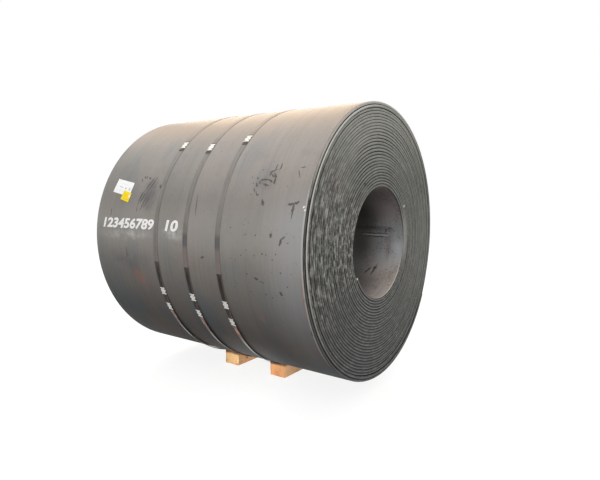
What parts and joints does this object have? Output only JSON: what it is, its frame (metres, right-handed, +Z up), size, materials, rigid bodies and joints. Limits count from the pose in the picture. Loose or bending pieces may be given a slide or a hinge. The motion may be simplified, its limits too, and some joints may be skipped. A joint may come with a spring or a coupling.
{
  "type": "steel coil",
  "caption": "Coil of thick hot-rolled steel strip lying on timber bearers, with an open bore, steel straps with crimped seals round it, and blank labels on its outer wrap.",
  "frame": {"origin": "on the floor under the middle of the coil", "axes": "+X along the coil's axis towards the end seen in the picture, +Z up"},
  "size_m": [1.5068, 1.4967, 1.5896],
  "materials": {
    "mill_scale_steel": "hot-rolled mill scale, satin",
    "strap_steel": "waxed black steel strapping",
    "seal_steel": "zinc-plated",
    "sawn_timber": "rough sawn",
    "white_paper": "matt",
    "yellow_paper": "matt"
  },
  "bodies": {
    "root": {"coil": "mill_scale_steel", "strap_far": "strap_steel", "strap_middle": "strap_steel", "strap_near": "strap_steel", "strap_far_seal_crown": "seal_steel", "strap_far_seal_upper": "seal_steel", "strap_far_seal_lower": "seal_steel", "strap_middle_seal_crown": "seal_steel", "strap_middle_seal_upper": "seal_steel", "strap_middle_seal_lower": "seal_steel", "strap_near_seal_crown": "seal_steel", "strap_near_seal_upper": "seal_steel", "strap_near_seal_lower": "seal_steel", "bearer_far": "sawn_timber", "bearer_near": "sawn_timber", "paper_label": "white_paper", "yellow_tag": "yellow_paper"}
  },
  "joints": []
}
